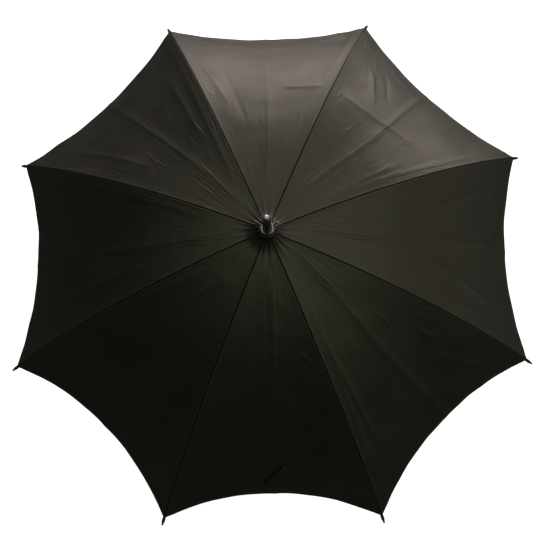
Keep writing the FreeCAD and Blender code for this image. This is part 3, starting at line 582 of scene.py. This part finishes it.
def cloth_material(name, light, dark, seam_line, hem_line):
    """Woven black cloth: threads, a soft crumple, sewing along its edges, a patchy sheen, and painted shade that
    darkens the seams and the hem.
    """
    material, tree, shader = new_material(
        name, Specular_Tint=(1, 0.97, 0.73, 1),
        Sheen_Weight=0.02, Sheen_Roughness=0.5, Sheen_Tint=(0.9, 0.87, 0.78, 1))
    plane = uv(tree, "cloth")
    split = tree.nodes.new("ShaderNodeSeparateXYZ")
    tree.links.new(plane, split.inputs[0])
    edges = tree.nodes.new("ShaderNodeSeparateXYZ")
    tree.links.new(uv(tree, "edge"), edges.inputs[0])
    seam, hem = edges.outputs[0], edges.outputs[1]
    weave = maths(tree, "MAXIMUM", threads(tree, plane, "Y"), threads(tree, plane, "X"))
    slubs = noise(tree, stretched(tree, plane, 900.0, 60.0, 1.0), 1.0, 2.0)
    patches = noise(tree, plane, 9.0, 3.0, 0.55)
    crumple = noise(tree, plane, 55.0, 4.0, 0.62, 0.6)
    creases = noise(tree, plane, 17.0, 5.0, 0.6, 1.6)
    sewn = stitches(tree, seam, split.outputs[1], seam_line, 0.0026)
    hemmed = stitches(tree, hem, split.outputs[0], hem_line, 0.0026)
    thread = maths(tree, "MAXIMUM", sewn, hemmed)
    mottle = noise(tree, plane, 380.0, 2.0, 0.6)
    specks = maths(tree, "ADD", maths(tree, "MULTIPLY", mottle, 0.3), maths(tree, "MULTIPLY", slubs, 0.2))
    tone = maths(tree, "ADD", maths(tree, "MULTIPLY", patches, 0.5), specks)
    colour = blended(tree, span(tree, tone, 0.35, 0.65), dark, light)
    # Painted shade: the colour goes near black within about 2 mm of each seam and 3 mm of the hem, and the gloss
    # is lowered there too.
    seam_painted_shade = span(tree, seam, 0.0008, 0.0019, 0.92, 0.0, smooth=True)
    hem_painted_shade = span(tree, hem, 0.0008, 0.0030, 0.85, 0.0, smooth=True)
    painted_edge_shade = maths(tree, "MAXIMUM", seam_painted_shade, hem_painted_shade)
    colour = blended(tree, painted_edge_shade, colour, (0.003, 0.003, 0.0028, 1))
    colour = blended(tree, thread, colour, (0.030, 0.028, 0.024, 1))
    tree.links.new(span(tree, painted_edge_shade, 0.0, 1.0, 0.5, 0.08), shader.inputs["Specular IOR Level"])
    tree.links.new(colour, shader.inputs["Base Color"])
    gloss = maths(tree, "ADD", maths(tree, "MULTIPLY", mottle, 0.6), maths(tree, "MULTIPLY", patches, 0.4))
    tree.links.new(span(tree, gloss, 0.35, 0.65, 0.40, 0.58), shader.inputs["Roughness"])
    pulled = pulled_creases(tree, split.outputs[0], split.outputs[1])
    where = span(tree, noise(tree, plane, 11.0, 2.0), 0.42, 0.60, 0.05, 1.0, smooth=True)
    lined = bumped(tree, shader, maths(tree, "MULTIPLY", pulled, where), 0.00050, 0.8)
    soft = bumped(tree, shader, creases, 0.0005, 0.8, lined)
    fine = bumped(tree, shader, crumple, 0.00012, 0.8, soft)
    woven = bumped(tree, shader, weave, 0.00002, 0.5, fine)
    bumped(tree, shader, thread, 0.00025, 0.8, woven)
    return material


def edge_mask(tree, radius):
    """1 on a sharp edge of the piece and 0 away from it."""
    rounded = add(tree, "ShaderNodeBevel", {"Radius": radius}, samples=4)
    normal = tree.nodes.new("ShaderNodeNewGeometry").outputs["Normal"]
    product = tree.nodes.new("ShaderNodeVectorMath")
    product.operation = "DOT_PRODUCT"
    tree.links.new(rounded, product.inputs[0])
    tree.links.new(normal, product.inputs[1])
    return span(tree, product.outputs["Value"], 0.93, 0.995, 1.0, 0.0)


def metal_material(name, colour, worn, base_roughness, along_axis, metallic=1.0):
    """Drawn or rolled metal: streaks along it, cloudy gloss, fine scratches and brighter worn edges."""
    material, tree, shader = new_material(name, Metallic=metallic)
    place = tree.nodes.new("ShaderNodeTexCoord").outputs["Object"]
    scales = [420.0, 420.0, 420.0]
    scales[along_axis] = 25.0
    streaks = noise(tree, stretched(tree, place, *scales), 1.0, 3.0)
    clouds = noise(tree, place, 60.0, 3.0)
    specks = noise(tree, place, 700.0, 2.0)
    edges = edge_mask(tree, 0.0004)
    wear = maths(tree, "MULTIPLY", edges, span(tree, clouds, 0.35, 0.65))
    tone = span(tree, clouds, 0.3, 0.7)
    darker = tuple(0.72 * value for value in colour[:3]) + (1,)
    shade = blended(tree, tone, darker, colour)
    shade = blended(tree, wear, shade, worn)
    tree.links.new(shade, shader.inputs["Base Color"])
    gloss = maths(tree, "ADD", maths(tree, "MULTIPLY", streaks, 0.6), maths(tree, "MULTIPLY", specks, 0.4))
    tree.links.new(
        span(tree, gloss, 0.3, 0.7, base_roughness - 0.07, base_roughness + 0.10), shader.inputs["Roughness"])
    bumped(tree, shader, gloss, 0.00003, 0.6)
    return material


def enamel_material(name, colour, worn):
    """Black enamel on steel: an orange-peel surface, dust in the gloss and paint rubbed off the edges."""
    material, tree, shader = new_material(name, Coat_Weight=0.25, Coat_Roughness=0.2)
    place = tree.nodes.new("ShaderNodeTexCoord").outputs["Object"]
    peel = noise(tree, place, 420.0, 2.0)
    dust = noise(tree, place, 90.0, 5.0, 0.65)
    clouds = noise(tree, place, 22.0, 3.0)
    edges = edge_mask(tree, 0.0004)
    wear = maths(tree, "MULTIPLY", edges, span(tree, dust, 0.48, 0.60))
    lighter = tuple(1.6 * value for value in colour[:3]) + (1,)
    shade = blended(tree, span(tree, clouds, 0.3, 0.7), colour, lighter)
    shade = blended(tree, wear, shade, worn)
    tree.links.new(shade, shader.inputs["Base Color"])
    tree.links.new(maths(tree, "MULTIPLY", wear, 0.9), shader.inputs["Metallic"])
    tree.links.new(span(tree, dust, 0.3, 0.7, 0.28, 0.46), shader.inputs["Roughness"])
    bumped(tree, shader, peel, 0.00006, 0.6)
    return material


def plastic_material(name, colour, low, high, grain):
    """Moulded plastic: fine grain, faint flow marks, handling marks in the gloss and dusty edges."""
    material, tree, shader = new_material(name, IOR=1.5)
    place = tree.nodes.new("ShaderNodeTexCoord").outputs["Object"]
    fine = noise(tree, place, 1500.0, 2.0)
    flow = noise(tree, stretched(tree, place, 60.0, 60.0, 190.0), 1.0, 4.0, 0.6, 1.2)
    marks = noise(tree, place, 130.0, 5.0, 0.7)
    edges = edge_mask(tree, 0.0004)
    rubbed = maths(tree, "MULTIPLY", edges, span(tree, marks, 0.4, 0.65))
    lighter = tuple(1.8 * value + 0.004 for value in colour[:3]) + (1,)
    shade = blended(tree, span(tree, flow, 0.3, 0.7), colour, lighter)
    shade = blended(tree, rubbed, shade, (0.09, 0.088, 0.082, 1))
    tree.links.new(shade, shader.inputs["Base Color"])
    tree.links.new(span(tree, marks, 0.3, 0.72, low, high), shader.inputs["Roughness"])
    lined = bumped(tree, shader, flow, 0.00005, 0.5)
    bumped(tree, shader, fine, grain, 0.6, lined)
    return material


def wood_material():
    """Stained and lacquered wood: grain lines along the stick, pores, a cloudy stain and a rubbed coat."""
    material, tree, shader = new_material("handle_wood", Coat_Roughness=0.14, Specular_IOR_Level=0.4)
    plane = uv(tree, "cloth")
    bands = noise(tree, stretched(tree, plane, 330.0, 14.0, 1.0), 1.0, 6.0, 0.6, 0.9)
    pores = noise(tree, stretched(tree, plane, 1500.0, 90.0, 1.0), 1.0, 3.0, 0.6)
    stain = noise(tree, plane, 28.0, 4.0, 0.55)
    hands = noise(tree, plane, 60.0, 5.0, 0.7)
    shade = blended(tree, span(tree, bands, 0.34, 0.66), (0.028, 0.010, 0.005, 1), (0.115, 0.046, 0.019, 1))
    shade = blended(tree, span(tree, stain, 0.3, 0.75, 0.0, 0.5), shade, (0.055, 0.019, 0.009, 1))
    pits = span(tree, pores, 0.60, 0.70)
    shade = blended(tree, pits, shade, (0.014, 0.006, 0.004, 1))
    tree.links.new(shade, shader.inputs["Base Color"])
    tree.links.new(span(tree, bands, 0.3, 0.7, 0.42, 0.30), shader.inputs["Roughness"])
    tree.links.new(span(tree, hands, 0.35, 0.7, 0.9, 0.55), shader.inputs["Coat Weight"])
    grain = bumped(tree, shader, bands, 0.00012, 0.5)
    bumped(tree, shader, maths(tree, "SUBTRACT", 1.0, pits), 0.00008, 0.6, grain)
    return material


def dress_nodes(materials):
    """Every CAD node that stays on show takes the material of its slot."""
    slots = {"shaft": "shaft_steel", "crown": "black_nylon", "runner": "black_nylon"}
    slots.update(crown_wire="bright_steel", runner_wire="bright_steel", crown_pin="bright_steel")
    slots.update(stop_pin="bright_steel", top_catch="spring_steel", bottom_catch="spring_steel")
    slots.update(top_catch_pin="bright_steel", bottom_catch_pin="bright_steel", ferrule_ring="dark_chrome")
    slots.update(ferrule="ferrule_plastic", ferrule_point="satin_nickel", handle_collar="bright_chrome")
    slots.update(handle_cap="bright_chrome")
    for number in range(1, RIBS + 1):
        slots[f"rib_{number}"] = "rib_steel"
        slots[f"rib_tip_{number}"] = "tip_plastic"
        slots[f"rivet_{number}"] = "bright_steel"
        slots[f"stretcher_{number}"] = "stretcher_steel"
    for name, slot in slots.items():
        node = frame["nodes"][name]
        node.data.materials.clear()
        node.data.materials.append(materials[slot])


def make_materials():
    steel = (0.55, 0.55, 0.56, 1)
    return {
        "canopy_cloth": cloth_material(
            "canopy_cloth", (0.011, 0.0103, 0.0065, 1), (0.007, 0.0066, 0.0042, 1), 0.0022, 0.0055),
        "tie_cloth": cloth_material(
            "tie_cloth", (0.010, 0.0092, 0.006, 1), (0.006, 0.0056, 0.004, 1), 0.0020, 0.0020),
        "handle_wood": wood_material(),
        "shaft_steel": enamel_material("shaft_steel", (0.020, 0.020, 0.021, 1), steel),
        "rib_steel": enamel_material("rib_steel", (0.026, 0.026, 0.027, 1), steel),
        "stretcher_steel": metal_material("stretcher_steel", (0.50, 0.50, 0.51, 1), steel, 0.34, 2),
        "bright_steel": metal_material("bright_steel", (0.60, 0.60, 0.61, 1), (0.75, 0.75, 0.76, 1), 0.24, 2),
        "spring_steel": metal_material("spring_steel", (0.42, 0.43, 0.46, 1), steel, 0.30, 2),
        "bright_chrome": metal_material("bright_chrome", (0.62, 0.61, 0.58, 1), (0.80, 0.79, 0.76, 1), 0.30, 2),
        "satin_nickel": metal_material("satin_nickel", (0.50, 0.48, 0.45, 1), (0.70, 0.68, 0.64, 1), 0.42, 2),
        "dark_chrome": metal_material("dark_chrome", (0.16, 0.15, 0.14, 1), (0.70, 0.69, 0.66, 1), 0.20, 2),
        "black_nylon": plastic_material("black_nylon", (0.016, 0.016, 0.017, 1), 0.40, 0.58, 0.00003),
        "tip_plastic": plastic_material("tip_plastic", (0.012, 0.012, 0.012, 1), 0.34, 0.52, 0.00002),
        "snap_black": plastic_material("snap_black", (0.006, 0.006, 0.006, 1), 0.55, 0.72, 0.00002),
        "ferrule_plastic": plastic_material("ferrule_plastic", (0.010, 0.010, 0.010, 1), 0.12, 0.26, 0.00001),
    }


# --- stage, light and camera -------------------------------------------------------------------------


def make_floor():
    """A plain white floor under the umbrella."""
    mesh = bpy.data.meshes.new("floor")
    low = CAD_BOX[0].z - 0.002
    reach = 8.0
    corners = [(-reach, -reach, low), (reach, -reach, low), (reach, reach, low), (-reach, reach, low)]
    mesh.from_pydata(corners, [], [(0, 1, 2, 3)])
    floor = bpy.data.objects.new("floor", mesh)
    bpy.context.scene.collection.objects.link(floor)
    material, _, _ = new_material(
        "floor_white", Base_Color=(0.85, 0.85, 0.85, 1), Roughness=0.9,
        Emission_Color=(1, 1, 1, 1), Emission_Strength=0.9)
    mesh.materials.append(material)
    floor.visible_glossy = False


def make_backdrop():
    """A plain white dome around the floor."""
    turns = np.linspace(0, math.tau, 65)[:-1]
    low = CAD_BOX[0].z - 0.01
    rings = [(7.9 * math.cos(lift), low + 7.9 * math.sin(lift)) for lift in np.linspace(0, 1.55, 17)]
    points = [(radius * math.cos(turn), radius * math.sin(turn), z) for radius, z in rings for turn in turns]
    faces = []
    for row in range(len(rings) - 1):
        for column in range(64):
            after = (column + 1) % 64
            faces.append((row * 64 + column, row * 64 + after, row * 64 + 64 + after, row * 64 + 64 + column))
    mesh = bpy.data.meshes.new("backdrop")
    mesh.from_pydata(points, [], faces)
    backdrop = bpy.data.objects.new("backdrop", mesh)
    bpy.context.scene.collection.objects.link(backdrop)
    material, _, _ = new_material(
        "backdrop_white", Base_Color=(0.85, 0.85, 0.85, 1), Roughness=0.9,
        Emission_Color=(1, 1, 1, 1), Emission_Strength=0.97)
    mesh.materials.append(material)
    backdrop.visible_diffuse = False
    backdrop.visible_glossy = False
    backdrop.visible_shadow = False


def softbox(name, azimuth, elevation, distance, width, height, power, colour):
    """A soft rectangular lamp that faces the canopy."""
    lamp = bpy.data.lights.new(name, "AREA")
    lamp.shape = "RECTANGLE"
    lamp.size = width
    lamp.size_y = height
    lamp.energy = power
    lamp.color = colour
    holder = bpy.data.objects.new(name, lamp)
    bpy.context.scene.collection.objects.link(holder)
    turn, lift = math.radians(azimuth), math.radians(elevation)
    away = Vector((math.cos(turn) * math.cos(lift), math.sin(turn) * math.cos(lift), math.sin(lift)))
    holder.location = Vector((0, 0, 0.5)) + distance * away
    holder.rotation_euler = away.to_track_quat("Z", "Y").to_euler()
    holder.visible_camera = False


def make_world():
    world = bpy.data.worlds.new("room")
    world.use_nodes = True
    background = world.node_tree.nodes["Background"]
    background.inputs["Color"].default_value = (1, 1, 1, 1)
    background.inputs["Strength"].default_value = 0.025
    bpy.context.scene.world = world


def make_camera():
    """The camera above the canopy, a little to one side of the ferrule."""
    turn, lift = CAMERA_AZIMUTH, CAMERA_ELEVATION
    back = Vector((math.cos(turn) * math.cos(lift), math.sin(turn) * math.cos(lift), math.sin(lift)))
    level = Vector((0, 0, 1)).cross(back).normalized()
    upward = back.cross(level)
    right = math.cos(CAMERA_ROLL) * level - math.sin(CAMERA_ROLL) * upward
    upward = back.cross(right)
    data = bpy.data.cameras.new("camera")
    data.lens = CAMERA_LENS
    data.sensor_width = 36
    data.clip_end = 50
    camera = bpy.data.objects.new("camera", data)
    place = CAMERA_TARGET + CAMERA_DISTANCE * back
    camera.matrix_world = Matrix((
        (right.x, upward.x, back.x, place.x),
        (right.y, upward.y, back.y, place.y),
        (right.z, upward.z, back.z, place.z),
        (0, 0, 0, 1)))
    bpy.context.scene.collection.objects.link(camera)
    bpy.context.scene.camera = camera


MATERIALS = make_materials()
dress_nodes(MATERIALS)
for gore_number in range(1, RIBS + 1):
    make_gore(gore_number, MATERIALS["canopy_cloth"])
make_patch(MATERIALS["canopy_cloth"])
STRAP_GRIDS = tuple(gore_grid(STRAP_GORE)[index] for index in (0, 3, 6))
make_strap(STRAP_GRIDS, MATERIALS["tie_cloth"])
make_snap(STRAP_GRIDS, MATERIALS["snap_black"])
make_handle(MATERIALS["handle_wood"])
make_floor()
make_backdrop()
softbox("key", 56, 2, 3.2, 3.4, 1.2, 84, (1, 0.89, 0.90))
softbox("overhead", 35, 66, 3.2, 5.2, 3.2, 62, (1, 1, 0.92))
softbox("side", -25, 14, 3.2, 1.6, 1.6, 7, (1, 0.97, 0.90))
make_world()
make_camera()
bpy.context.scene.view_settings.view_transform = "Standard"
